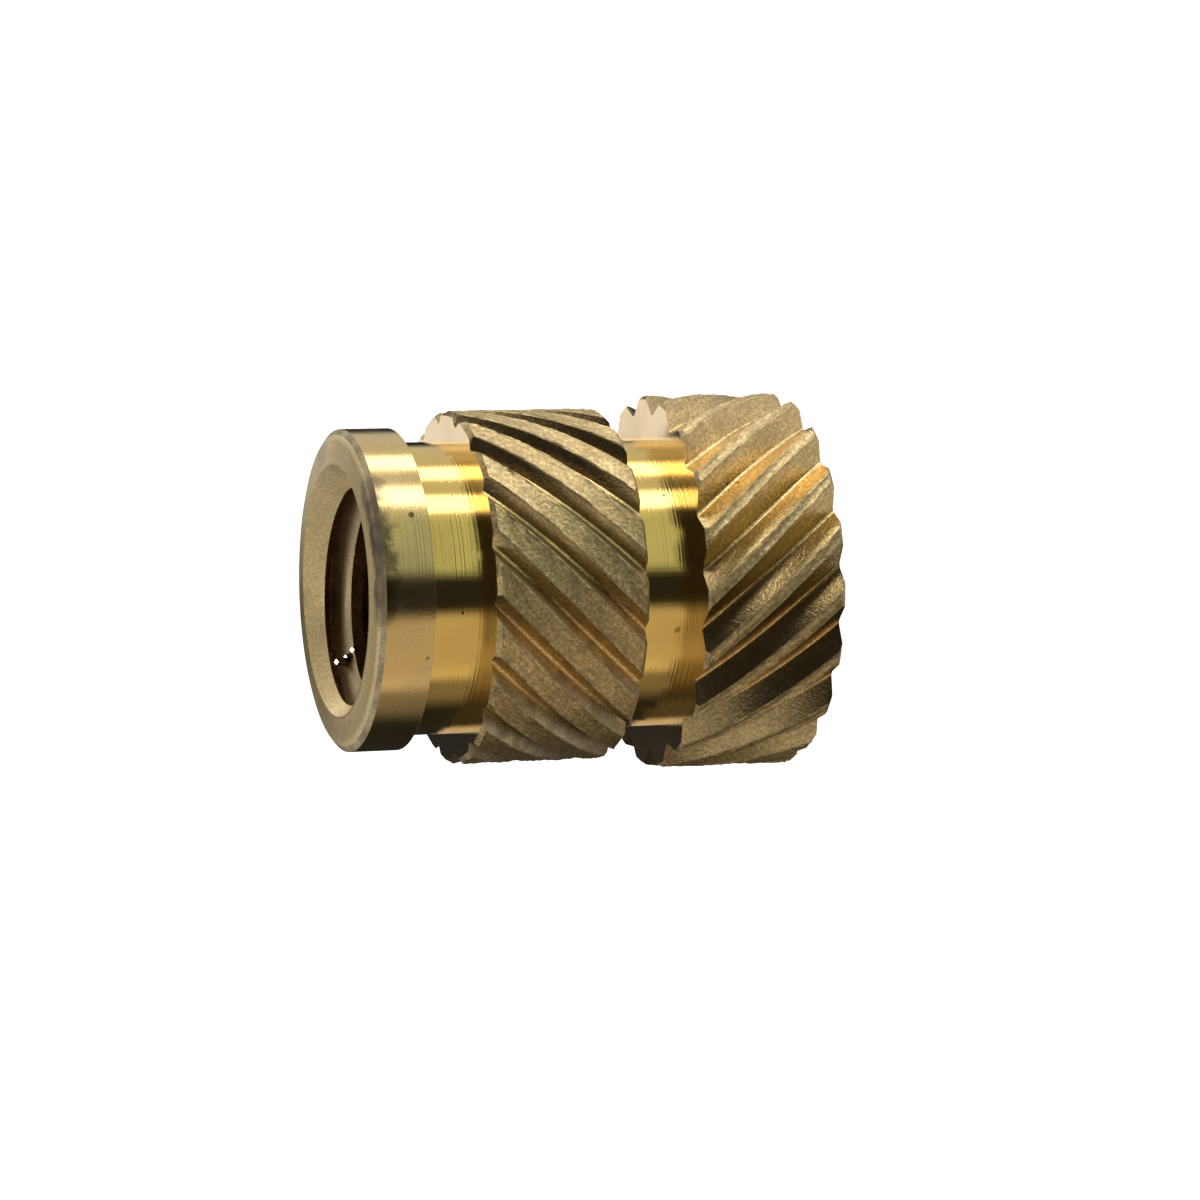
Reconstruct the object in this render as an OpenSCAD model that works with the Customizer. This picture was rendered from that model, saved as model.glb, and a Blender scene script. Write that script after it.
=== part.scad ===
// Threaded brass insert for moulding or pressing into plastic: one turned piece with two knurled bands, two
// plain grooves, a plain pilot and a threaded hole from end to end. The bands' teeth lean opposite ways, so
// that the insert can neither turn nor pull out. Millimetres. The large band's end face lies on Z = 0, centred
// on the axis, and the pilot points along +Z. The hole is drawn at the thread's crests, with no thread cut.

/* [Large band] */
// Diameter over the teeth of the large band
large_band_d = 4.6; // [4.4:0.05:5]
// Height of the large band
large_band_h = 1.75; // [1.2:0.05:2.4]
// Number of teeth on the large band
large_teeth = 19; // [14:1:24]
// Depth of the grooves between the large band's teeth
large_tooth_depth = 0.22; // [0.12:0.01:0.26]
// Width of the flat land on top of each large tooth
large_land_w = 0.16; // [0.08:0.01:0.24]
// Lean of the large band's teeth, a left-hand helix at the crests
large_helix = 41.5; // [20:0.5:50]
// Turn of the large band's teeth about the axis, at the middle of the band
large_phase = 13.1; // [0:0.1:25]

/* [Small band] */
// Diameter over the teeth of the small band
small_band_d = 4.3; // [4.2:0.05:4.6]
// Height of the small band
small_band_h = 1.88; // [1.2:0.02:2.6]
// Number of teeth on the small band
small_teeth = 18; // [14:1:22]
// Depth of the grooves between the small band's teeth
small_tooth_depth = 0.15; // [0.08:0.01:0.2]
// Width of the flat land on top of each small tooth
small_land_w = 0.38; // [0.2:0.01:0.42]
// Lean of the small band's teeth, a right-hand helix at the crests
small_helix = 45; // [20:0.5:50]
// Turn of the small band's teeth about the axis, at the middle of the band
small_phase = -1.1; // [-10:0.1:10]

/* [Tooth edges] */
// Width of the flat bottom of each groove between teeth
groove_bottom_w = 0.06; // [0.02:0.01:0.1]
// Chamfer round the bands' inner edges, which face the grooves
band_chamfer = 0.05; // [0.02:0.01:0.08]
// Chamfer round the bands' leading edges, at the end face and below the pilot
lead_chamfer = 0.06; // [0.02:0.01:0.12]

/* [Necks] */
// Diameter of the body in the plain grooves round it
neck_d = 3.55; // [3.4:0.05:3.7]
// Height of the groove between the two bands
lower_neck_h = 0.69; // [0.3:0.01:1.2]
// Height of the groove between the small band and the pilot
upper_neck_h = 0.71; // [0.3:0.01:1.2]

/* [Pilot] */
// Diameter of the plain pilot that leads the insert into its hole
pilot_d = 3.9; // [3.75:0.05:4.1]
// Height of the pilot's round wall, without its chamfer
pilot_wall_h = 0.59; // [0.2:0.01:1.2]
// Width of the chamfer on the pilot's end face
pilot_chamfer_w = 0.15; // [0.05:0.01:0.2]
// Height of the chamfer on the pilot's end
pilot_chamfer_h = 0.08; // [0.04:0.01:0.2]

/* [Threaded hole] */
// Diameter of the hole at the thread's crests
hole_d = 2.5; // [2.3:0.05:2.6]
// Diameter of the 45 degree countersink at each end of the hole
countersink_d = 3; // [2.8:0.05:3.2]

/* [Hidden] */
$fn = 96;

// Heights above the end face
large_band_top = large_band_h;
small_band_base = large_band_top + lower_neck_h;
small_band_top = small_band_base + small_band_h;
pilot_base = small_band_top + upper_neck_h;
pilot_wall_top = pilot_base + pilot_wall_h;
insert_l = pilot_wall_top + pilot_chamfer_h;

// Countersink depth at 45 degrees, and the cutters' reach past an end face
countersink_h = (countersink_d - hole_d) / 2;
cut_over = 0.5;

// The knurled rings are bonded into the core: their inner wall lies halfway down the countersink, and the
// core starts above the end face, so that the large ring alone makes that face
bond_r = (hole_d + countersink_d) / 4;
core_base = countersink_h / 4;

// Height of the rings' steps along the helix, and the points of each tooth on one step
ring_step = 0.2;
TOOTH_POINTS = 5;

function polar(r, angle, z) = [r * cos(angle), r * sin(angle), z];

// Angle that an arc of length w spans on radius r
function arc_angle(w, r) = w / r * 180 / PI;

// Steps of a ring from z = 0 to h, with one at each chamfer's end
function ring_heights(h, low, high) =
    let (n = ceil((h - low - high) / ring_step))
    concat([0], [for (k = [0 : n]) low + (h - low - high) * k / n], [h]);

// Radius that the chamfers leave a tooth at height z
function tooth_limit(z, r, h, low, high) = r - max(0, low - z, z - (h - high));

// One tooth at one height: its flank's foot, land and other foot, then the ring's inner wall
function tooth_points(angle, z, limit, r, depth, land_w, pitch) =
    let (
        root_r = r - depth,
        foot = pitch / 2 - arc_angle(groove_bottom_w, root_r) / 2,
        land = arc_angle(land_w, r) / 2,
        top = land + (foot - land) * (r - limit) / depth
    )
    [
        polar(root_r, angle - foot, z),
        polar(limit, angle - top, z),
        polar(limit, angle + top, z),
        polar(root_r, angle + foot, z),
        polar(bond_r, angle, z)
    ];

// Ring of helical teeth from z = 0 to h. A positive helix is right-handed, and phase holds at mid-height
module knurled_ring(d, h, teeth, depth, land_w, helix, phase, low, high) {
    r = d / 2;
    pitch = 360 / teeth;
    heights = ring_heights(h, low, high);
    last = len(heights) - 1;

    points = [
        for (z = heights, i = [0 : teeth - 1])
            let (angle = i * pitch + phase + arc_angle((z - h / 2) * tan(helix), r))
            each tooth_points(angle, z, tooth_limit(z, r, h, low, high), r, depth, land_w, pitch)
    ];

    function at(level, i, j) = (level * teeth + i % teeth) * TOOTH_POINTS + j;
    function outer(level, m) = at(level, floor(m / 4), m % 4);
    function inner(level, i) = at(level, i, 4);

    // Splits a four-cornered cell along the diagonal that keeps a land convex under this helix
    function cell(a, b, c, d) = helix > 0 ? [[a, b, d], [b, c, d]] : [[a, b, c], [a, c, d]];

    walls = [
        for (k = [0 : last - 1], m = [0 : 4 * teeth - 1])
            each cell(outer(k, m), outer(k + 1, m), outer(k + 1, m + 1), outer(k, m + 1))
    ];
    bond = [
        for (k = [0 : last - 1], i = [0 : teeth - 1])
            each cell(inner(k, i + 1), inner(k + 1, i + 1), inner(k + 1, i), inner(k, i))
    ];
    lower_face = [
        for (i = [0 : teeth - 1]) each [
            for (j = [0 : 3]) [inner(0, i), outer(0, 4 * i + j), outer(0, 4 * i + j + 1)],
            [inner(0, i), outer(0, 4 * i + 4), inner(0, i + 1)]
        ]
    ];
    upper_face = [
        for (i = [0 : teeth - 1]) each [
            for (j = [0 : 3]) [inner(last, i), outer(last, 4 * i + j + 1), outer(last, 4 * i + j)],
            [inner(last, i), inner(last, i + 1), outer(last, 4 * i + 4)]
        ]
    ];

    polyhedron(points, concat(walls, bond, lower_face, upper_face));
}

// Plain turned core: the necks, which run on through both bands, and the pilot with its square shoulder
module core() {
    rotate_extrude()
        polygon([
            [0, core_base],
            [neck_d / 2, core_base],
            [neck_d / 2, pilot_base],
            [pilot_d / 2, pilot_base],
            [pilot_d / 2, pilot_wall_top],
            [pilot_d / 2 - pilot_chamfer_w, insert_l],
            [0, insert_l]
        ]);
}

// Cutter for the countersink whose mouth lies on z = 0 and which narrows along +Z
module countersink() {
    translate([0, 0, -cut_over])
        cylinder(h = countersink_h + cut_over, d1 = countersink_d + 2 * cut_over, d2 = hole_d);
}

module hole() {
    translate([0, 0, -cut_over])
        cylinder(h = insert_l + 2 * cut_over, d = hole_d);
    countersink();
    translate([0, 0, insert_l])
        mirror([0, 0, 1])
            countersink();
}

module insert_body() {
    color([0.74, 0.62, 0.38])
        difference() {
            union() {
                core();
                knurled_ring(large_band_d, large_band_h, large_teeth, large_tooth_depth, large_land_w,
                    -large_helix, large_phase, lead_chamfer, band_chamfer);
                translate([0, 0, small_band_base])
                    knurled_ring(small_band_d, small_band_h, small_teeth, small_tooth_depth, small_land_w,
                        small_helix, small_phase, band_chamfer, lead_chamfer);
            }
            hole();
        }
}

insert_body();
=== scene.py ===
"""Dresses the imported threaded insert: the real knurls, thread and turned section, brass finishes and a small studio.

Everything is modelled in millimetres, as on a drawing, and brought to the frame's metres when it is finished. The
insert stands on its large band with its axis along +Z, and the camera lies on its side, so that the insert is seen
lying down with its pilot to the left.
"""

import logging
import math
from dataclasses import dataclass, field
from enum import Enum
from typing import Iterable, Sequence

import bpy
from mathutils import Matrix, Vector

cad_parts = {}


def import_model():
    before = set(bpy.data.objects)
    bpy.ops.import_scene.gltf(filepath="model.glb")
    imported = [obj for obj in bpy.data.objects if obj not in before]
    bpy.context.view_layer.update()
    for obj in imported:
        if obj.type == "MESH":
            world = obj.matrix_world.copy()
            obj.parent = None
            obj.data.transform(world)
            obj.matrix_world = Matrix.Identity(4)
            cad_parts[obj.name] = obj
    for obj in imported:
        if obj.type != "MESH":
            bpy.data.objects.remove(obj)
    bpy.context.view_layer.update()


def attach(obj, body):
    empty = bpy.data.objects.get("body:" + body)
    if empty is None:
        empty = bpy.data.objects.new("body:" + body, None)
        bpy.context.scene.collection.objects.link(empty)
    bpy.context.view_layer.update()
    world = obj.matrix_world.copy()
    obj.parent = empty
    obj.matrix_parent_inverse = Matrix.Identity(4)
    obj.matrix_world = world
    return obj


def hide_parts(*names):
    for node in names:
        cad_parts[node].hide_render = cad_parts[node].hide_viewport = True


LOG = logging.getLogger("insert")
MM = 0.001

Point = tuple[float, float, float]


# ---------------------------------------------------------------------------------------------- bench tools


def put_down_everything() -> None:
    """Leaves edit mode and deselects every object."""
    if bpy.context.object and bpy.context.object.mode != "OBJECT":
        bpy.ops.object.mode_set(mode="OBJECT")
    bpy.ops.object.select_all(action="DESELECT")


def take(piece: bpy.types.Object) -> None:
    """Makes one object the only selected and active one."""
    put_down_everything()
    piece.select_set(True)
    bpy.context.view_layer.objects.active = piece


def polar(radius: float, degrees: float, z: float = 0.0) -> Point:
    """Point at a radius and an angle round the insert's axis."""
    angle = math.radians(degrees)
    return radius * math.cos(angle), radius * math.sin(angle), z


def draw_wire(name: str, points: Sequence[Point]) -> bpy.types.Object:
    """Draws an open wire by extruding one vertex from point to point.

    Args:
        name: Name of the new object.
        points: Corners of the wire, in millimetres.

    Returns:
        The wire, in edit mode, with all of it selected.
    """
    put_down_everything()
    bpy.ops.mesh.primitive_plane_add(size=1.0)
    wire = bpy.context.object
    wire.name = name
    bpy.ops.object.mode_set(mode="EDIT")
    bpy.ops.mesh.select_all(action="SELECT")
    bpy.ops.mesh.merge(type="CENTER")
    bpy.ops.transform.translate(value=points[0])
    for start, end in zip(points, points[1:]):
        step = tuple(e - s for s, e in zip(start, end))
        bpy.ops.mesh.extrude_vertices_move(TRANSFORM_OT_translate={"value": step})
    bpy.ops.mesh.select_all(action="SELECT")
    return wire


def turn(degrees: float) -> None:
    """Turns the selection about the Z axis, anticlockwise from above (the operator counts the other way here)."""
    bpy.ops.transform.rotate(value=-math.radians(degrees), orient_axis="Z", center_override=(0.0, 0.0, 0.0))


def close_up(merge: float = 1e-5) -> None:
    """Merges doubles of the mesh in edit mode, turns its faces outwards and goes back to object mode."""
    bpy.ops.mesh.select_all(action="SELECT")
    bpy.ops.mesh.remove_doubles(threshold=merge)
    bpy.ops.mesh.normals_make_consistent(inside=False)
    bpy.ops.object.mode_set(mode="OBJECT")


def lathe(name: str, section: Sequence[tuple[float, float]], steps: int) -> bpy.types.Object:
    """Turns a solid from its half section.

    Args:
        name: Name of the new object.
        section: Corners as radius and height, from the axis round to the axis again.
        steps: Number of facets round the axis.

    Returns:
        The closed solid.
    """
    solid = draw_wire(name, [(radius, 0.0, height) for radius, height in section])
    bpy.ops.mesh.spin(steps=steps, angle=2 * math.pi, center=(0, 0, 0), axis=(0, 0, 1))
    close_up()
    return solid


class Join(Enum):
    """The ways in which one solid works on another."""

    ADD = "UNION"
    CUT = "DIFFERENCE"
    TRIM = "INTERSECT"


def work(piece: bpy.types.Object, tool: bpy.types.Object, join: Join) -> None:
    """Adds, cuts or trims a piece with a tool solid, and clears the tool away.

    Args:
        piece: The solid that is kept.
        tool: The solid that works on it, which is deleted.
        join: What the tool does.
    """
    take(piece)
    step = piece.modifiers.new(join.value.title(), "BOOLEAN")
    step.object = tool
    step.operation = join.value
    step.solver = "EXACT"
    bpy.ops.object.modifier_apply(modifier=step.name)
    bpy.data.objects.remove(tool)


# ---------------------------------------------------------------------------------------------- finishes


Value = bpy.types.NodeSocket | float


class Wiring:
    """Adds nodes to one node tree and joins them up."""

    def __init__(self, tree: bpy.types.NodeTree) -> None:
        """Takes the tree that is wired."""
        self.tree = tree

    def node(self, kind: str, **settings: object) -> bpy.types.Node:
        """Adds a node and sets its options."""
        node = self.tree.nodes.new(kind)
        for name, value in settings.items():
            setattr(node, name, value)
        return node

    def feed(self, socket: bpy.types.NodeSocket, value: object) -> None:
        """Links a socket to another one, or sets it to a plain value."""
        if isinstance(value, bpy.types.NodeSocket):
            self.tree.links.new(value, socket)
        else:
            socket.default_value = value

    def math(self, operation: str, *values: Value, clamp: bool = False) -> bpy.types.NodeSocket:
        """Works out one sum of one to three values."""
        node = self.node("ShaderNodeMath", operation=operation, use_clamp=clamp)
        for socket, value in zip(node.inputs, values):
            self.feed(socket, value)
        return node.outputs[0]

    def span(self, value: Value, low: float, high: float, smooth: bool = True) -> bpy.types.NodeSocket:
        """Fades from 0 where the value is low to 1 where it is high."""
        node = self.node("ShaderNodeMapRange", interpolation_type="SMOOTHSTEP" if smooth else "LINEAR")
        for name, given in (("Value", value), ("From Min", low), ("From Max", high)):
            self.feed(node.inputs[name], given)
        return node.outputs["Result"]

    def blend(self, share: Value, first: object, second: object) -> bpy.types.NodeSocket:
        """Mixes two colours."""
        node = self.node("ShaderNodeMix", data_type="RGBA")
        self.feed(node.inputs["Factor"], share)
        for name, colour in (("A", first), ("B", second)):
            socket = next(s for s in node.inputs if s.name == name and s.type == "RGBA")
            self.feed(socket, colour)
        return next(s for s in node.outputs if s.type == "RGBA")

    def noise(self, vector: object, scale: Value, detail: float, rough: float = 0.55) -> bpy.types.NodeSocket:
        """Cloudy noise in space, from 0 to 1."""
        node = self.node("ShaderNodeTexNoise")
        self.feed(node.inputs["Vector"], vector)
        self.feed(node.inputs["Scale"], scale)
        node.inputs["Detail"].default_value = detail
        node.inputs["Roughness"].default_value = rough
        return node.outputs["Fac"]

    def place(self) -> bpy.types.NodeSocket:
        """Place on the piece, in metres."""
        return self.node("ShaderNodeTexCoord").outputs["Object"]

    def radius(self, place: bpy.types.NodeSocket) -> tuple[bpy.types.NodeSocket, bpy.types.NodeSocket]:
        """Distance from the insert's axis, and height along it."""
        split = self.node("ShaderNodeSeparateXYZ")
        self.feed(split.inputs[0], place)
        square = self.math("MULTIPLY_ADD", split.outputs[0], split.outputs[0],
                           self.math("MULTIPLY", split.outputs[1], split.outputs[1]))
        return self.math("SQRT", square), split.outputs[2]


def make_group(name: str, inputs: dict[str, str], outputs: Iterable[str]) -> tuple[bpy.types.NodeTree, Wiring]:
    """Starts a shader node group.

    Args:
        name: Name of the group.
        inputs: Socket name to socket type.
        outputs: Names of the number outputs.

    Returns:
        The group's tree, and the wiring for it.
    """
    tree = bpy.data.node_groups.new(name, "ShaderNodeTree")
    for socket, kind in inputs.items():
        tree.interface.new_socket(name=socket, in_out="INPUT", socket_type=kind)
    for socket in outputs:
        tree.interface.new_socket(name=socket, in_out="OUTPUT", socket_type="NodeSocketFloat")
    return tree, Wiring(tree)


# Rolling streaks: the radius at which they are drawn, their width, and the height where their lean changes over, in
# millimetres. Each is some nine widths long.
STREAK_RADIUS = 2.1
STREAK_SIZE = 0.05
STREAK_STRETCH = 9.0
BAND_SPLIT = 2.1

# How much of the dull metal's colour is left in a speck and in a streak, and the colour of a pit.
SPECK_SHADE = 0.45
STREAK_SHADE = 0.5
PIT_COLOUR = (0.12, 0.07, 0.03, 1.0)


@dataclass
class Effects:
    """The surface effects that every brass finish shares, each built once as a node group."""

    grain: bpy.types.NodeTree = field(init=False)
    lines: bpy.types.NodeTree = field(init=False)
    stain: bpy.types.NodeTree = field(init=False)
    mark: bpy.types.NodeTree = field(init=False)
    streak: bpy.types.NodeTree = field(init=False)

    def __post_init__(self) -> None:
        """Builds the five groups."""
        self.grain = self._grain()
        self.lines = self._lines()
        self.stain = self._stain()
        self.mark = self._mark()
        self.streak = self._streak()

    @staticmethod
    def _grain() -> bpy.types.NodeTree:
        """Sandy grain: its height, and specks that are paler or darker than the rest."""
        tree, wire = make_group(
            "sandy_grain", {"Place": "NodeSocketVector", "Size": "NodeSocketFloat"}, ("Height", "Speck")
        )
        given, made = wire.node("NodeGroupInput"), wire.node("NodeGroupOutput")
        place = given.outputs["Place"]
        per_metre = wire.math("DIVIDE", 1.0, given.outputs["Size"])
        finer, coarse_share, fine_share = 2.6, 0.65, 0.35
        coarse = wire.noise(place, per_metre, 2.0, 0.6)
        fine = wire.noise(place, wire.math("MULTIPLY", per_metre, finer), 1.0)
        rest = wire.math("MULTIPLY", fine, fine_share)
        wire.feed(made.inputs["Height"], wire.math("MULTIPLY_ADD", coarse, coarse_share, rest))
        wire.feed(made.inputs["Speck"], wire.span(coarse, 0.36, 0.66))
        return tree

    @staticmethod
    def _lines() -> bpy.types.NodeTree:
        """Fine lines left by the turning tool, which run round the axis on walls and end faces alike."""
        tree, wire = make_group(
            "turning_lines", {"Place": "NodeSocketVector", "Size": "NodeSocketFloat"}, ("Height",)
        )
        given, made = wire.node("NodeGroupInput"), wire.node("NodeGroupOutput")
        radius, height = wire.radius(given.outputs["Place"])
        along = wire.math("DIVIDE", wire.math("ADD", radius, height), given.outputs["Size"])
        noise = wire.node("ShaderNodeTexNoise", noise_dimensions="1D")
        wire.feed(noise.inputs["W"], along)
        noise.inputs["Scale"].default_value = 1.0
        noise.inputs["Detail"].default_value = 2.0
        wire.feed(made.inputs["Height"], noise.outputs["Fac"])
        return tree

    @staticmethod
    def _stain() -> bpy.types.NodeTree:
        """Cloudy patches of duller metal, with a few small dark pits."""
        tree, wire = make_group(
            "dull_patches", {"Place": "NodeSocketVector", "Size": "NodeSocketFloat"}, ("Patch", "Pit")
        )
        given, made = wire.node("NodeGroupInput"), wire.node("NodeGroupOutput")
        place = given.outputs["Place"]
        per_metre = wire.math("DIVIDE", 1.0, given.outputs["Size"])
        pits_finer = 6.0
        pits = wire.noise(place, wire.math("MULTIPLY", per_metre, pits_finer), 0.0)
        wire.feed(made.inputs["Patch"], wire.span(wire.noise(place, per_metre, 3.0), 0.35, 0.68))
        wire.feed(made.inputs["Pit"], wire.span(pits, 0.88, 0.92))
        return tree

    @staticmethod
    def _streak() -> bpy.types.NodeTree:
        """Streaks that the knurling wheel drags along the teeth, leaning one way below the split and back above it."""
        tree, wire = make_group(
            "rolling_streaks",
            {"Place": "NodeSocketVector", "Size": "NodeSocketFloat", "Split": "NodeSocketFloat"},
            ("Streak",),
        )
        given, made = wire.node("NodeGroupInput"), wire.node("NodeGroupOutput")
        split = wire.node("ShaderNodeSeparateXYZ")
        wire.feed(split.inputs[0], given.outputs["Place"])
        round_way = wire.math("ARCTAN2", split.outputs[1], split.outputs[0])
        arc = wire.math("MULTIPLY", round_way, STREAK_RADIUS * MM)
        upper = wire.math("GREATER_THAN", split.outputs[2], given.outputs["Split"])
        lean = wire.math("MULTIPLY_ADD", upper, 2.0, -1.0)
        across = wire.math("MULTIPLY_ADD", wire.math("MULTIPLY", lean, split.outputs[2]), -1.0, arc)
        along = wire.math("MULTIPLY_ADD", wire.math("MULTIPLY", lean, split.outputs[2]), 1.0, arc)
        size = given.outputs["Size"]
        where = wire.node("ShaderNodeCombineXYZ")
        wire.feed(where.inputs[0], wire.math("DIVIDE", across, size))
        wire.feed(where.inputs[1], wire.math("DIVIDE", along, wire.math("MULTIPLY", size, STREAK_STRETCH)))
        wire.feed(made.inputs["Streak"], wire.span(wire.noise(where.outputs[0], 1.0, 2.0, 0.6), 0.34, 0.66))
        return tree

    @staticmethod
    def _mark() -> bpy.types.NodeTree:
        """One mark, or one patch of painted shade, with a ragged edge: how strongly it shows about its middle."""
        tree, wire = make_group(
            "ragged_mark",
            {"Place": "NodeSocketVector", "Middle": "NodeSocketVector", "Size": "NodeSocketFloat"},
            ("Mark",),
        )
        given, made = wire.node("NodeGroupInput"), wire.node("NodeGroupOutput")
        away = wire.node("ShaderNodeVectorMath", operation="DISTANCE")
        for socket, name in zip(away.inputs, ("Place", "Middle")):
            wire.feed(socket, given.outputs[name])
        size = given.outputs["Size"]
        waves, raggedness = 1.6, 1.6
        ragged = wire.noise(given.outputs["Place"], wire.math("DIVIDE", waves, size), 3.0, 0.7)
        reach = wire.math("DIVIDE", away.outputs["Value"], wire.math("MULTIPLY", size, 0.5))
        edge = wire.math("MULTIPLY_ADD", ragged, -raggedness, wire.math("ADD", reach, raggedness / 2))
        wire.feed(made.inputs["Mark"], wire.math("SUBTRACT", 1.0, wire.span(edge, 0.55, 1.15)))
        return tree


@dataclass(frozen=True)
class Mark:
    """A dark mark on the brass, or a patch of painted shade, placed by its angle round the axis, its radius and its
    height, in millimetres.
    """

    degrees: float
    radius: float
    height: float
    size: float
    strength: float
    colour: tuple[float, float, float] = (0.16, 0.10, 0.045)


# Small dark marks on the pilot and the necks, then patches of painted shade on the faced end of the pilot.
MARKS_AND_PAINTED_SHADE = (
    Mark(26.6, 1.95, 5.24, 0.085, 0.9),
    Mark(-24.5, 1.95, 5.10, 0.05, 0.7),
    Mark(-19.0, 1.775, 1.95, 0.09, 0.6),
    Mark(-5.0, 1.775, 4.80, 0.04, 0.5),
    # These six are painted shade: they darken the near side of the pilot's faced end and its edge.
    Mark(38.0, 1.87, 5.70, 0.50, 0.7, (0.22, 0.17, 0.11)),
    Mark(29.0, 1.88, 5.70, 0.48, 0.8, (0.17, 0.13, 0.08)),
    Mark(20.0, 1.88, 5.70, 0.50, 0.85, (0.14, 0.11, 0.07)),
    Mark(11.0, 1.89, 5.70, 0.50, 0.85, (0.14, 0.11, 0.07)),
    Mark(2.0, 1.89, 5.70, 0.50, 0.8, (0.16, 0.12, 0.07)),
    Mark(-7.0, 1.90, 5.70, 0.44, 0.6, (0.20, 0.15, 0.09)),
    # These two darken the far side and one side of the faced end a little.
    Mark(183.0, 1.72, 5.70, 0.60, 0.5, (0.36, 0.28, 0.15)),
    Mark(108.0, 1.74, 5.70, 0.55, 0.4, (0.40, 0.30, 0.20)),
)


@dataclass(frozen=True)
class BrassFinish:
    """One finish of the insert's brass. Lengths are in millimetres and colours are linear."""

    name: str
    colour: tuple[float, float, float]
    dull: tuple[float, float, float]
    dull_share: float
    roughness: float
    dull_roughness: float
    grain_size: float = 0.03
    grain_depth: float = 0.0
    speck: float = 0.0
    line_size: float = 0.02
    line_depth: float = 0.0
    stain_size: float = 0.6
    brushed: float = 0.0
    streaks: float = 0.0

    @staticmethod
    def effect(
        wire: Wiring, group: bpy.types.NodeTree, place: bpy.types.NodeSocket, size: float
    ) -> bpy.types.Node:
        """Places one shared effect at a size in millimetres."""
        node = wire.node("ShaderNodeGroup", node_tree=group)
        wire.feed(node.inputs["Place"], place)
        node.inputs["Size"].default_value = size * MM
        return node

    def _shade(self, share: float) -> tuple[float, ...]:
        """The dull metal's colour, darkened to a share of itself."""
        return (*(share * c for c in self.dull), 1.0)

    def build(self, effects: Effects) -> bpy.types.Material:
        """Makes the material.

        Args:
            effects: The node groups that the finishes share.

        Returns:
            The finished material.
        """
        material = bpy.data.materials.new(self.name)
        material.use_nodes = True
        wire = Wiring(material.node_tree)
        shader = material.node_tree.nodes["Principled BSDF"]
        shader.inputs["Metallic"].default_value = 1.0
        if self.brushed:
            shader.inputs["Anisotropic"].default_value = self.brushed
            shader.inputs["Anisotropic Rotation"].default_value = 0.25
            around = wire.node("ShaderNodeTangent", direction_type="RADIAL", axis="Z")
            wire.feed(shader.inputs["Tangent"], around.outputs[0])
        place = wire.place()
        stain = self.effect(wire, effects.stain, place, self.stain_size)
        grain = self.effect(wire, effects.grain, place, self.grain_size)
        lines = self.effect(wire, effects.lines, place, self.line_size)
        share = wire.math("MULTIPLY", stain.outputs["Patch"], self.dull_share)
        colour = wire.blend(share, (*self.colour, 1.0), (*self.dull, 1.0))
        darker = wire.math("MULTIPLY", wire.math("SUBTRACT", 1.0, grain.outputs["Speck"]), self.speck)
        colour = wire.blend(darker, colour, self._shade(SPECK_SHADE))
        if self.streaks:
            streak = self.effect(wire, effects.streak, place, STREAK_SIZE)
            streak.inputs["Split"].default_value = BAND_SPLIT * MM
            drag = wire.math("MULTIPLY", wire.math("SUBTRACT", 1.0, streak.outputs["Streak"]), self.streaks)
            colour = wire.blend(drag, colour, self._shade(STREAK_SHADE))
        colour = wire.blend(stain.outputs["Pit"], colour, PIT_COLOUR)
        # Lays the dark marks and the patches of painted shade over the colour.
        for mark in MARKS_AND_PAINTED_SHADE:
            node = self.effect(wire, effects.mark, place, mark.size)
            node.inputs["Middle"].default_value = tuple(c * MM for c in polar(mark.radius, mark.degrees, mark.height))
            shown = wire.math("MULTIPLY", node.outputs["Mark"], mark.strength)
            colour = wire.blend(shown, colour, (*mark.colour, 1.0))
        wire.feed(shader.inputs["Base Color"], colour)
        rough = wire.math("MULTIPLY_ADD", share, self.dull_roughness - self.roughness, self.roughness)
        wire.feed(shader.inputs["Roughness"], rough)
        height = wire.math(
            "MULTIPLY_ADD", grain.outputs["Height"], self.grain_depth * MM,
            wire.math("MULTIPLY", lines.outputs["Height"], self.line_depth * MM),
        )
        bump = wire.node("ShaderNodeBump")
        bump.inputs["Distance"].default_value = 1.0
        wire.feed(bump.inputs["Height"], height)
        wire.feed(shader.inputs["Normal"], bump.outputs["Normal"])
        return material


class Surface(Enum):
    """The kinds of surface on the insert, each with a finish of its own."""

    NECK = "turned necks"
    PILOT = "pilot wall"
    # Darker brass on the pilot's rim, and painted shade on the faces of the teeth that look down.
    DARK_RIM_AND_PAINTED_SHADE = "worn edge of the pilot"
    BAND_WALL = "sides of the bands"
    LAND = "tops of the teeth"
    FLANK = "sides of the teeth"
    END_FACE = "faced ends"
    THREAD = "upper flanks of the thread"
    # Painted shade: the faces of the hole that don't look up.
    BORE_PAINTED_SHADE = "rest of the tapped hole"
    BURR = "bright tops of the burrs"


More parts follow.
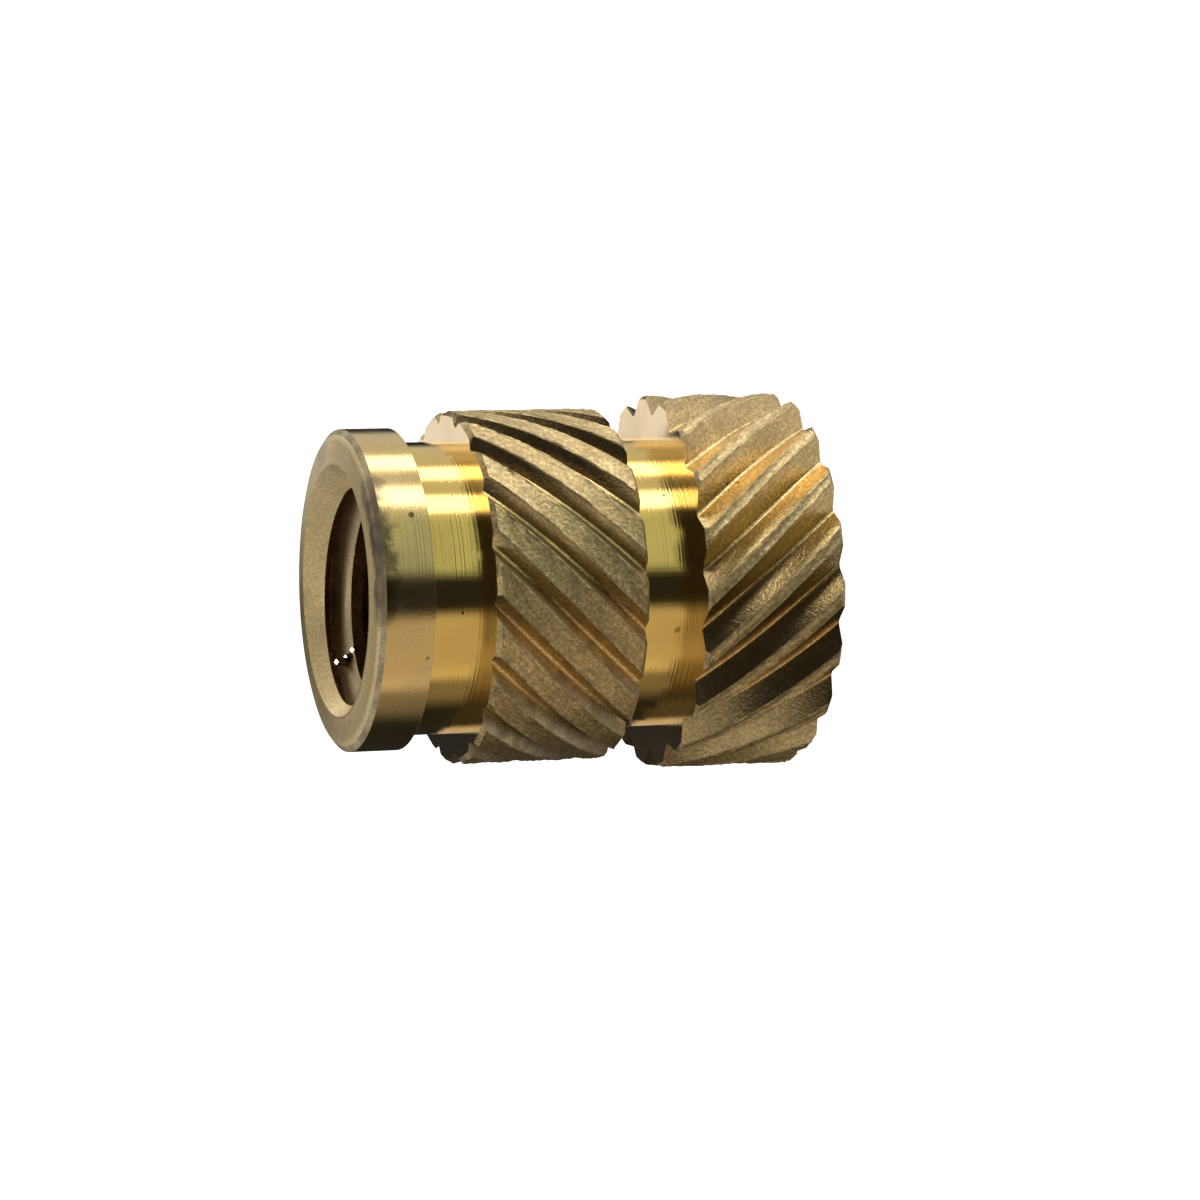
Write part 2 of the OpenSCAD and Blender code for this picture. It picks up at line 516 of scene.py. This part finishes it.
FINISHES = {
    Surface.NECK: BrassFinish(
        "brass_neck", colour=(0.98, 0.70, 0.22), dull=(0.82, 0.54, 0.15), dull_share=0.3,
        roughness=0.12, dull_roughness=0.17, grain_size=0.03, grain_depth=0.0002, line_size=0.022, line_depth=0.002,
        brushed=0.85,
    ),
    Surface.PILOT: BrassFinish(
        "brass_pilot", colour=(0.93, 0.67, 0.28), dull=(0.78, 0.60, 0.31), dull_share=0.45,
        roughness=0.16, dull_roughness=0.30, grain_size=0.03, grain_depth=0.0008, line_size=0.022, line_depth=0.0015,
        speck=0.12, brushed=0.7,
    ),
    # Darker, rougher brass for the pilot's outer edge, and for the faces of the teeth that look down, where it is
    # painted shade.
    Surface.DARK_RIM_AND_PAINTED_SHADE: BrassFinish(
        "brass_dark_rim_and_painted_shade", colour=(0.74, 0.59, 0.34), dull=(0.40, 0.31, 0.19), dull_share=0.7,
        roughness=0.40, dull_roughness=0.55, grain_size=0.034, grain_depth=0.006, line_size=0.03, line_depth=0.0008,
        speck=0.4, stain_size=0.25,
    ),
    Surface.BAND_WALL: BrassFinish(
        "brass_band_wall", colour=(0.94, 0.71, 0.40), dull=(0.74, 0.54, 0.30), dull_share=0.3,
        roughness=0.12, dull_roughness=0.2, grain_size=0.03, grain_depth=0.0008, line_size=0.03, line_depth=0.0006,
    ),
    Surface.LAND: BrassFinish(
        "brass_land", colour=(1.0, 0.765, 0.385), dull=(0.66, 0.49, 0.23), dull_share=0.45,
        roughness=0.45, dull_roughness=0.60, grain_size=0.045, grain_depth=0.013, line_size=0.05, line_depth=0.0004,
        speck=0.6, streaks=0.45,
    ),
    Surface.FLANK: BrassFinish(
        "brass_flank", colour=(0.96, 0.69, 0.30), dull=(0.58, 0.40, 0.18), dull_share=0.5,
        roughness=0.20, dull_roughness=0.31, grain_size=0.036, grain_depth=0.005, line_size=0.05, line_depth=0.0005,
        speck=0.5, streaks=0.25,
    ),
    Surface.END_FACE: BrassFinish(
        "brass_end_face", colour=(1.0, 0.76, 0.37), dull=(0.80, 0.60, 0.29), dull_share=0.5,
        roughness=0.34, dull_roughness=0.46, grain_size=0.034, grain_depth=0.005, line_size=0.03, line_depth=0.0008,
        speck=0.35,
    ),
    Surface.THREAD: BrassFinish(
        "brass_thread", colour=(1.0, 0.77, 0.43), dull=(0.78, 0.57, 0.31), dull_share=0.4,
        roughness=0.42, dull_roughness=0.55, grain_size=0.03, grain_depth=0.003, line_size=0.02, line_depth=0.0005,
        speck=0.3,
    ),
    # Dark brown brass for the faces of the hole that don't look up: painted shade in the hole.
    Surface.BORE_PAINTED_SHADE: BrassFinish(
        "brass_bore_painted_shade", colour=(0.40, 0.26, 0.15), dull=(0.14, 0.085, 0.05), dull_share=0.75,
        roughness=0.24, dull_roughness=0.5, grain_size=0.03, grain_depth=0.003, line_size=0.02, line_depth=0.0005,
        speck=0.4, stain_size=0.3,
    ),
    Surface.BURR: BrassFinish(
        "brass_burr", colour=(1.0, 0.88, 0.62), dull=(0.95, 0.80, 0.52), dull_share=0.3,
        roughness=0.06, dull_roughness=0.1,
    ),
}


# ---------------------------------------------------------------------------------------------- the insert


# Facets round the axis of each turned solid, and the largest angle that is shaded smooth.
CORE_FACETS = 192
BLANK_FACETS = 180
CONE_FACETS = 144
SMOOTH_DEG = 32

# How faces are told apart. Radii and depths from the ends are in millimetres, and slopes are the Z part of a normal.
HOLE_R = 1.52
RIM_R = 1.70
END_DEPTH = 0.20
CONE_DEPTH = 0.26
HAIR = 0.001
CONE_SLOPE = (0.69, 0.72)
HALF_SLOPE = 0.5
LEVEL = 0.90
DEAD_LEVEL = 0.99
SAME_WAY = 0.9995


@dataclass
class Knurl:
    """A band of helical teeth: its blank, its tooth section and its lean, in millimetres and degrees."""

    name: str
    low: float
    high: float
    crest_r: float
    depth: float
    teeth: int
    land_w: float
    bottom_w: float
    helix_deg: float
    phase_deg: float
    low_chamfer: float
    high_chamfer: float
    lip: float = 0.0
    edge_round: float = 0.016
    root_round: float = 0.012
    levels: int = 48
    wander: float = 0.012
    seed: int = 3

    def tooth_section(self) -> list[tuple[float, float]]:
        """Corners of one tooth from groove to groove, as angle and radius.

        Returns:
            Angles in degrees about the tooth's middle, with the radius at each.
        """
        pitch = 360.0 / self.teeth
        root_r = self.crest_r - self.depth
        land = math.degrees(self.land_w / self.crest_r) / 2
        foot = pitch / 2 - math.degrees(self.bottom_w / root_r) / 2
        edge = math.degrees(self.edge_round / self.crest_r)
        fillet = math.degrees(self.root_round / root_r)
        slope = self.depth / (foot - land)
        half = [
            (0.0, self.crest_r - self.lip),
            (max(land - 2.6 * edge, 0.3 * land), self.crest_r - 0.8 * self.lip),
            (land - edge, self.crest_r),
            (land - 0.2 * edge, self.crest_r - 0.10 * self.edge_round),
            (land + 0.45 * edge, self.crest_r - slope * 0.45 * edge - 0.04 * self.edge_round),
            (land + edge, self.crest_r - slope * edge),
            (foot - fillet, root_r + slope * fillet),
            (foot - 0.1 * fillet, root_r + slope * 0.42 * fillet),
            (foot + 0.6 * fillet, root_r + 0.05 * self.root_round),
        ]
        left = [(-angle, radius) for angle, radius in reversed(half[1:])]
        return [(-pitch / 2, root_r)] + left + half + [(pitch / 2, root_r)]

    def land_from(self) -> float:
        """The radius beyond which a face of this band belongs to the top of a tooth."""
        return self.crest_r - 0.5 * self.edge_round - self.lip

    def blank(self) -> bpy.types.Object:
        """Turns the chamfered ring that the teeth are trimmed to, a hair wider than their tops."""
        outer = self.crest_r + 0.002
        return lathe(
            self.name + "_blank",
            [
                (0.0, self.low),
                (outer - self.low_chamfer, self.low),
                (outer, self.low + self.low_chamfer),
                (outer, self.high - self.high_chamfer),
                (outer - self.high_chamfer, self.high),
                (0.0, self.high),
            ],
            steps=BLANK_FACETS,
        )

    def roughen(self, body: bpy.types.Object) -> None:
        """Makes the edges of this band's tooth tops wander a little, as on rolled teeth."""
        take(body)
        bpy.ops.object.mode_set(mode="EDIT")
        bpy.ops.mesh.select_mode(type="VERT")
        bpy.ops.mesh.select_all(action="DESELECT")
        bpy.ops.object.mode_set(mode="OBJECT")
        inner = self.crest_r - 0.35 * self.edge_round
        for vertex in body.data.vertices:
            radius = math.hypot(vertex.co.x, vertex.co.y)
            vertex.select = radius > inner and self.low < vertex.co.z < self.high
        bpy.ops.object.mode_set(mode="EDIT")
        bpy.ops.transform.vertex_random(offset=self.wander, uniform=0.0, normal=0.0, seed=self.seed)
        bpy.ops.object.mode_set(mode="OBJECT")

    def build(self) -> bpy.types.Object:
        """Rolls the teeth: one tooth, copied round, raised in steps that turn with the helix, and trimmed."""
        lap = 0.02
        low, high = self.low - lap, self.high + lap
        rise = (high - low) / self.levels
        lean = math.degrees(rise * math.tan(math.radians(self.helix_deg)) / self.crest_r)
        start = self.phase_deg - lean * self.levels / 2
        outline = [polar(radius, angle + start, low) for angle, radius in self.tooth_section()]
        teeth = draw_wire(self.name, outline)
        bpy.ops.mesh.spin(steps=self.teeth, dupli=True, angle=2 * math.pi, center=(0, 0, 0), axis=(0, 0, 1))
        bpy.ops.mesh.select_all(action="SELECT")
        bpy.ops.mesh.remove_doubles(threshold=1e-4)
        bpy.ops.mesh.edge_face_add()
        for _ in range(self.levels):
            bpy.ops.mesh.extrude_region_move(TRANSFORM_OT_translate={"value": (0.0, 0.0, rise)})
            turn(lean)
        close_up()
        work(teeth, self.blank(), Join.TRIM)
        return teeth


@dataclass
class Thread:
    """The internal screw thread and its countersinks, in millimetres."""

    length: float
    minor_r: float = 1.25
    major_r: float = 1.5
    pitch: float = 0.5
    crest_w: float = 0.17
    root_w: float = 0.05
    edge: float = 0.055
    shift: float = -0.13
    mouth_r: float = 1.5
    facets: int = 80

    def tap(self) -> bpy.types.Object:
        """Builds the solid that the thread leaves empty, longer than the hole at both ends."""
        flank = (self.pitch - self.crest_w - self.root_w) / 2
        start = -2 * self.pitch + self.shift
        crest, root = self.crest_w / 2, self.root_w
        stations = [
            (self.minor_r, 0.0),
            (self.minor_r, crest - self.edge / 2),
            (self.minor_r + self.edge, crest + self.edge / 2),
            (self.major_r, crest + flank),
            (self.major_r, crest + flank + root),
            (self.minor_r, crest + 2 * flank + root),
            (self.minor_r, self.pitch),
        ]
        tap = draw_wire("tap", [(radius, 0.0, start + height) for radius, height in stations])
        bpy.ops.object.mode_set(mode="OBJECT")
        screw = tap.modifiers.new("Screw", "SCREW")
        screw.axis = "Z"
        screw.angle = 2 * math.pi
        screw.screw_offset = self.pitch
        screw.iterations = math.ceil(self.length / self.pitch) + 4
        screw.steps = screw.render_steps = self.facets
        screw.use_merge_vertices = True
        screw.merge_threshold = 1e-5
        bpy.ops.object.modifier_apply(modifier=screw.name)
        bpy.ops.object.mode_set(mode="EDIT")
        bpy.ops.mesh.select_all(action="SELECT")
        bpy.ops.mesh.remove_doubles(threshold=1e-4)
        over = 0.3
        for height, keep_above in ((-over, True), (self.length + over, False)):
            bpy.ops.mesh.select_all(action="SELECT")
            bpy.ops.mesh.bisect(
                plane_co=(0, 0, height),
                plane_no=(0, 0, 1),
                use_fill=True,
                clear_inner=keep_above,
                clear_outer=not keep_above,
            )
        close_up()
        return tap

    def countersink(self, at_top: bool) -> bpy.types.Object:
        """Turns the cone that opens one mouth of the hole.

        Args:
            at_top: True for the mouth in the pilot, False for the one in the large band.

        Returns:
            The closed cone, reaching past the end face.
        """
        over, lap = 0.4, 0.1
        tip_r, tip = self.minor_r - lap, self.mouth_r - self.minor_r + lap
        section = [(0.0, -over), (self.mouth_r + over, -over), (tip_r, tip), (0.0, tip)]
        if at_top:
            section = [(radius, self.length - height) for radius, height in section]
        return lathe("countersink", section, steps=CONE_FACETS)


@dataclass(frozen=True)
class Burr:
    """A chip that the tap has torn up in the hole, with one bright flat top. Lengths are in millimetres."""

    degrees: float
    radius: float
    height: float
    width: float
    depth: float = 0.14
    tilt_deg: float = 37.4

    @classmethod
    def top(cls) -> Vector:
        """The way that the bright top of every burr faces."""
        tilt = math.radians(cls.tilt_deg)
        return Vector((math.sin(tilt), 0.0, math.cos(tilt)))

    def build(self) -> bpy.types.Object:
        """Makes the chip as a blunt four-sided wedge that reaches into the wall."""
        put_down_everything()
        middle = Vector(polar(self.radius, self.degrees, self.height)) - self.top() * self.depth / 2
        bpy.ops.mesh.primitive_cone_add(
            vertices=4, radius1=1.5 * self.width, radius2=0.7 * self.width, depth=self.depth, location=middle,
            rotation=(0.0, math.radians(self.tilt_deg), 0.0),
        )
        bpy.ops.object.transform_apply(location=True, rotation=True, scale=True)
        return bpy.context.object


BURRS = (
    Burr(-135.5, 1.25, 5.49, 0.050, depth=0.26),
    Burr(-139.0, 1.25, 5.36, 0.038),
    Burr(-143.7, 1.245, 5.257, 0.050),
)


@dataclass
class InsertBody:
    """The whole insert as one turned, knurled and tapped piece, in millimetres."""

    length: float = 5.70
    neck_r: float = 1.775
    pilot_r: float = 1.95
    large_band: tuple[float, float] = (0.0, 1.75)
    small_band: tuple[float, float] = (2.44, 4.32)
    pilot_base: float = 5.03
    nose: tuple[float, float] = (0.15, 0.08)
    shoulder_edge: float = 0.002
    mouth_lip: tuple[float, float, float] = (1.5, 0.11, 0.02)

    def knurls(self) -> list[Knurl]:
        """The two bands of teeth, which lean opposite ways."""
        return [
            Knurl("large_knurl", *self.large_band, crest_r=2.3, depth=0.22, teeth=19, land_w=0.16, bottom_w=0.06,
                  helix_deg=-41.5, phase_deg=13.1, low_chamfer=0.06, high_chamfer=0.05, lip=0.012),
            Knurl("small_knurl", *self.small_band, crest_r=2.15, depth=0.15, teeth=18, land_w=0.38, bottom_w=0.06,
                  helix_deg=45.0, phase_deg=-1.1, low_chamfer=0.05, high_chamfer=0.06, lip=0.004),
        ]

    def core_section(self) -> list[tuple[float, float]]:
        """Half section of the necks and the pilot, which start inside the large band.

        Returns:
            Radius and height of each corner, from the axis round to the axis.
        """
        inside = 0.3 * self.large_band[1]
        nose_w, nose_h = self.nose
        lip_r, lip_w, lip_h = self.mouth_lip
        return [
            (0.0, inside),
            (self.neck_r, inside),
            (self.neck_r, self.pilot_base),
            (self.pilot_r - self.shoulder_edge, self.pilot_base),
            (self.pilot_r, self.pilot_base + self.shoulder_edge),
            (self.pilot_r, self.length - nose_h),
            (self.pilot_r - nose_w * 0.45, self.length - nose_h * 0.35),
            (self.pilot_r - nose_w, self.length),
            (lip_r + lip_w, self.length),
            (lip_r + 0.6 * lip_w, self.length + 0.8 * lip_h),
            (lip_r + 0.2 * lip_w, self.length + lip_h),
            (0.0, self.length + lip_h),
        ]

    def build(self) -> bpy.types.Object:
        """Turns the core, adds the knurls and cuts the tapped hole."""
        body = lathe("insert", self.core_section(), steps=CORE_FACETS)
        for knurl in self.knurls():
            work(body, knurl.build(), Join.ADD)
        thread = Thread(self.length)
        for at_top in (False, True):
            work(body, thread.countersink(at_top), Join.CUT)
        work(body, thread.tap(), Join.CUT)
        for burr in BURRS:
            work(body, burr.build(), Join.ADD)
        take(body)
        bpy.ops.object.mode_set(mode="EDIT")
        close_up()
        for knurl in self.knurls():
            knurl.roughen(body)
        bpy.ops.object.shade_smooth_by_angle(angle=math.radians(SMOOTH_DEG))
        body.data.transform(Matrix.Scale(MM, 4))
        return body

    def surface(self, place: Vector, normal: Vector) -> "Surface":
        """Tells which kind of surface a face belongs to, from its middle in millimetres and its normal."""
        radius = math.hypot(place.x, place.y)
        from_end = min(place.z, self.length - place.z)
        if radius < HOLE_R and abs(normal.z) < DEAD_LEVEL:
            if normal.dot(Burr.top()) > SAME_WAY:
                return Surface.BURR
            if CONE_SLOPE[0] < abs(normal.z) < CONE_SLOPE[1] and from_end <= CONE_DEPTH:
                return Surface.END_FACE
            # Faces of the hole that look up keep bright brass; the rest get the dark brass as painted shade.
            return Surface.THREAD if normal.z > HALF_SLOPE else Surface.BORE_PAINTED_SHADE
        if abs(normal.z) > LEVEL and from_end <= END_DEPTH:
            return Surface.END_FACE
        if place.z > self.pilot_base - HAIR:
            return Surface.DARK_RIM_AND_PAINTED_SHADE if place.z > self.length - self.nose[1] and radius > RIM_R else Surface.PILOT
        for knurl in self.knurls():
            if knurl.low - HAIR < place.z < knurl.high + HAIR and radius > self.neck_r + HAIR:
                if abs(normal.z) > LEVEL:
                    return Surface.BAND_WALL
                # Faces of the teeth that look down get the darker brass as painted shade.
                if normal.z < -HALF_SLOPE:
                    return Surface.DARK_RIM_AND_PAINTED_SHADE
                return Surface.LAND if radius > knurl.land_from() else Surface.FLANK
        return Surface.NECK

    def dress(self, body: bpy.types.Object) -> None:
        """Gives each kind of surface its finish."""
        effects = Effects()
        kinds = [self.surface(face.center / MM, face.normal) for face in body.data.polygons]
        body.data.materials.clear()
        take(body)
        bpy.ops.object.mode_set(mode="EDIT")
        bpy.ops.mesh.select_mode(type="FACE")
        bpy.ops.object.mode_set(mode="OBJECT")
        for slot, (kind, finish) in enumerate(FINISHES.items()):
            body.data.materials.append(finish.build(effects))
            bpy.ops.object.mode_set(mode="EDIT")
            bpy.ops.mesh.select_all(action="DESELECT")
            bpy.ops.object.mode_set(mode="OBJECT")
            for face, own in zip(body.data.polygons, kinds):
                face.select = own is kind
            body.active_material_index = slot
            bpy.ops.object.mode_set(mode="EDIT")
            bpy.ops.object.material_slot_assign()
            bpy.ops.object.mode_set(mode="OBJECT")
            LOG.info("%s: %d faces", finish.name, kinds.count(kind))


# ---------------------------------------------------------------------------------------------- studio


@dataclass(frozen=True)
class Viewpoint:
    """Where the camera stands, with distances in millimetres (the clip in metres) and angles in degrees."""

    aim: Point = (0.0, -0.208, 2.354)
    round_deg: float = 0.56
    height_deg: float = 18.6
    roll_deg: float = 91.77
    away: float = 51.75
    lens: float = 126.1
    sensor: float = 36.0
    clip: tuple[float, float] = (0.002, 5.0)

    def build(self) -> bpy.types.Object:
        """Makes the camera and hands it to the scene."""
        around, up = math.radians(self.round_deg), math.radians(self.height_deg)
        back = Vector((math.cos(around) * math.cos(up), math.sin(around) * math.cos(up), math.sin(up)))
        level = Vector((0, 0, 1)).cross(back).normalized()
        rise = back.cross(level)
        roll = math.radians(self.roll_deg)
        right = level * math.cos(roll) - rise * math.sin(roll)
        top = level * math.sin(roll) + rise * math.cos(roll)
        data = bpy.data.cameras.new("camera")
        data.lens = self.lens
        data.sensor_width = self.sensor
        data.clip_start, data.clip_end = self.clip
        camera = bpy.data.objects.new("camera", data)
        bpy.context.scene.collection.objects.link(camera)
        camera.matrix_world = Matrix(
            [
                [right.x, top.x, back.x, (self.aim[0] + back.x * self.away) * MM],
                [right.y, top.y, back.y, (self.aim[1] + back.y * self.away) * MM],
                [right.z, top.z, back.z, (self.aim[2] + back.z * self.away) * MM],
                [0, 0, 0, 1],
            ]
        )
        bpy.context.scene.camera = camera
        return camera


class Tone(Enum):
    """What a card's light looks like."""

    PLAIN = (1.0, 1.0, 1.0)
    WARM = (1.0, 0.86, 0.68)
    GREEN = (0.94, 1.06, 0.86)


@dataclass(frozen=True)
class Card:
    """One soft card of light, placed round the insert by its middle, half width, half height and edge in degrees."""

    azimuth: float
    elevation: float
    wide: float
    tall: float
    glow: float
    edge: float = 4.0
    tone: Tone = Tone.PLAIN


@dataclass
class Studio:
    """The pale floor, the ring of soft cards and the one small card that stands close behind the insert.

    The floor's half width is in metres, and every other length is in millimetres.
    """

    cards: tuple[Card, ...] = (
        Card(102.0, -10.0, 7.5, 40.0, 2.2, 1.5),
        Card(69.5, -14.0, 8.0, 38.0, 2.2, 1.5),
        Card(104.0, -26.0, 46.0, 40.0, 0.55, 7.0),
        Card(132.0, 10.0, 18.0, 14.0, 0.3, 8.0),
        Card(112.0, 32.0, 24.0, 12.0, 0.35, 8.0),
        Card(151.0, 26.0, 14.0, 14.0, 0.6, 6.0),
        Card(35.0, -24.0, 24.0, 14.0, 0.55, 6.0, Tone.GREEN),
        Card(-48.0, -20.0, 28.0, 26.0, 0.47, 5.0, Tone.WARM),
        Card(-84.0, -6.0, 16.0, 22.0, 0.2, 12.0, Tone.WARM),
        Card(-46.0, 33.0, 24.0, 14.0, 0.44, 8.0),
        Card(-66.0, 8.0, 20.0, 12.0, 0.2, 8.0, Tone.WARM),
        Card(-78.0, 57.0, 44.0, 12.0, 0.42, 8.0),
        Card(-158.0, 22.0, 14.0, 12.0, 0.6, 5.0),
        Card(-130.0, 35.0, 18.0, 10.0, 0.42, 6.0),
        Card(180.0, 50.0, 60.0, 9.0, 0.75, 5.0),
        Card(106.0, 57.0, 36.0, 12.0, 0.38, 8.0),
        Card(0.0, 80.0, 186.0, 10.0, 0.68, 5.0),
        Card(0.0, 88.0, 186.0, 3.0, 4.0, 1.0),
        Card(-16.0, -52.0, 20.0, 8.0, 0.4, 6.0),
        Card(0.0, -74.0, 186.0, 13.0, 0.6, 6.0),
    )
    surroundings: float = 0.02
    white: float = 1.0
    floor_half: float = 0.6
    floor_drop: float = 0.02
    mat_r: float = 1.6
    mat_drop: float = 0.01
    near_card: Point = (-19.0, 5.2, 9.4)
    near_size: tuple[float, float] = (8.0, 5.0)
    near_glow: float = 0.9

    def build(self) -> None:
        """Sets the studio up round the insert."""
        self._floor()
        self._mat()
        self._near_card()
        self._world()
        bpy.context.scene.view_settings.view_transform = "Standard"

    def _floor(self) -> None:
        """Lays the floor just under the insert. It glows evenly, and no light or reflection is stopped by it."""
        put_down_everything()
        bpy.ops.mesh.primitive_plane_add(size=2 * self.floor_half, location=(0.0, 0.0, -self.floor_drop * MM))
        floor = bpy.context.object
        floor.name = "floor"
        material = bpy.data.materials.new("floor_white")
        material.use_nodes = True
        shader = material.node_tree.nodes["Principled BSDF"]
        shader.inputs["Base Color"].default_value = (0.8, 0.8, 0.8, 1.0)
        shader.inputs["Roughness"].default_value = 1.0
        shader.inputs["Emission Color"].default_value = (1.0, 1.0, 1.0, 1.0)
        shader.inputs["Emission Strength"].default_value = self.white
        floor.data.materials.append(material)
        for ray in ("diffuse", "glossy", "transmission", "shadow"):
            setattr(floor, "visible_" + ray, False)

    def _mat(self) -> None:
        """Lays a small dark disc under the hole, so that no light comes up through it."""
        put_down_everything()
        bpy.ops.mesh.primitive_circle_add(
            vertices=64, radius=self.mat_r * MM, fill_type="NGON", location=(0.0, 0.0, -self.mat_drop * MM)
        )
        mat = bpy.context.object
        mat.name = "mat"
        material = bpy.data.materials.new("mat_dark")
        material.use_nodes = True
        shader = material.node_tree.nodes["Principled BSDF"]
        shader.inputs["Base Color"].default_value = (0.02, 0.015, 0.01, 1.0)
        shader.inputs["Roughness"].default_value = 0.9
        mat.data.materials.append(material)

    def _near_card(self) -> None:
        """Stands the small card close behind the insert, square to its middle."""
        place = Vector(self.near_card) * MM
        size = [side * MM for side in self.near_size]
        light = bpy.data.lights.new("near_card", "AREA")
        light.shape, light.size, light.size_y = "RECTANGLE", size[0], size[1]
        light.energy = self.near_glow * math.pi * size[0] * size[1]
        card = bpy.data.objects.new("near_card", light)
        bpy.context.scene.collection.objects.link(card)
        back = place.normalized()
        side = Vector((0.0, 1.0, 0.0))
        up = back.cross(side).normalized()
        side = up.cross(back)
        turned = Matrix((side, up, back)).transposed().to_4x4()
        card.matrix_world = Matrix.Translation(place) @ turned
        card.visible_camera = False

    @staticmethod
    def _card_group() -> bpy.types.NodeTree:
        """Builds the node group that tells how brightly one card shines from a direction."""
        tree = bpy.data.node_groups.new("card", "ShaderNodeTree")
        for socket in ("Azimuth", "Elevation", "At Azimuth", "At Elevation", "Wide", "Tall", "Edge", "Glow"):
            tree.interface.new_socket(name=socket, in_out="INPUT", socket_type="NodeSocketFloat")
        tree.interface.new_socket(name="Glow", in_out="OUTPUT", socket_type="NodeSocketFloat")
        wire = Wiring(tree)
        given, made = wire.node("NodeGroupInput").outputs, wire.node("NodeGroupOutput")
        shares = []
        for axis, half in (("Azimuth", "Wide"), ("Elevation", "Tall")):
            away = wire.math("SUBTRACT", given[axis], given["At " + axis])
            away = wire.math("ABSOLUTE", wire.math("WRAP", away, 180.0, -180.0))
            far = wire.math("ADD", given[half], given["Edge"])
            near = wire.math("SUBTRACT", given[half], given["Edge"])
            shares.append(wire.math("SUBTRACT", 1.0, wire.span(away, near, far)))
        wire.feed(made.inputs["Glow"], wire.math("MULTIPLY", wire.math("MULTIPLY", *shares), given["Glow"]))
        return tree

    def _world(self) -> None:
        """Hangs the cards in the dim surroundings, which stay white for the camera."""
        world = bpy.data.worlds.new("surroundings")
        bpy.context.scene.world = world
        world.use_nodes = True
        wire = Wiring(world.node_tree)
        way = wire.node("ShaderNodeSeparateXYZ")
        wire.feed(way.inputs[0], wire.node("ShaderNodeTexCoord").outputs["Generated"])
        azimuth = wire.math("DEGREES", wire.math("ARCTAN2", way.outputs[1], way.outputs[0]))
        elevation = wire.math("DEGREES", wire.math("ARCSINE", way.outputs[2]))
        group = self._card_group()
        sums: dict[Tone, Value] = {tone: self.surroundings if tone is Tone.PLAIN else 0.0 for tone in Tone}
        for card in self.cards:
            node = wire.node("ShaderNodeGroup", node_tree=group)
            values = (azimuth, elevation, card.azimuth, card.elevation, card.wide, card.tall, card.edge, card.glow)
            for socket, value in zip(node.inputs, values):
                wire.feed(socket, value)
            sums[card.tone] = wire.math("ADD", sums[card.tone], node.outputs[0])
        total = (0.0, 0.0, 0.0)
        for tone, glow in sums.items():
            scaled = wire.node("ShaderNodeVectorMath", operation="SCALE")
            scaled.inputs[0].default_value = tone.value
            wire.feed(scaled.inputs["Scale"], glow)
            joined = wire.node("ShaderNodeVectorMath", operation="ADD")
            wire.feed(joined.inputs[0], total)
            wire.feed(joined.inputs[1], scaled.outputs[0])
            total = joined.outputs[0]
        seen = wire.node("ShaderNodeLightPath").outputs["Is Camera Ray"]
        background = world.node_tree.nodes["Background"]
        wire.feed(background.inputs["Color"], wire.blend(seen, total, (self.white,) * 3 + (1.0,)))
        background.inputs["Strength"].default_value = 1.0


def main() -> None:
    """Builds the insert, its finishes and the studio round it."""
    logging.basicConfig(level=logging.INFO)
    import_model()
    insert = InsertBody()
    body = insert.build()
    insert.dress(body)
    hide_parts("insert_body")
    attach(body, "root")
    LOG.info("%s: %d vertices, %d faces", body.name, len(body.data.vertices), len(body.data.polygons))
    Viewpoint().build()
    Studio().build()


if __name__ == "__main__":
    main()
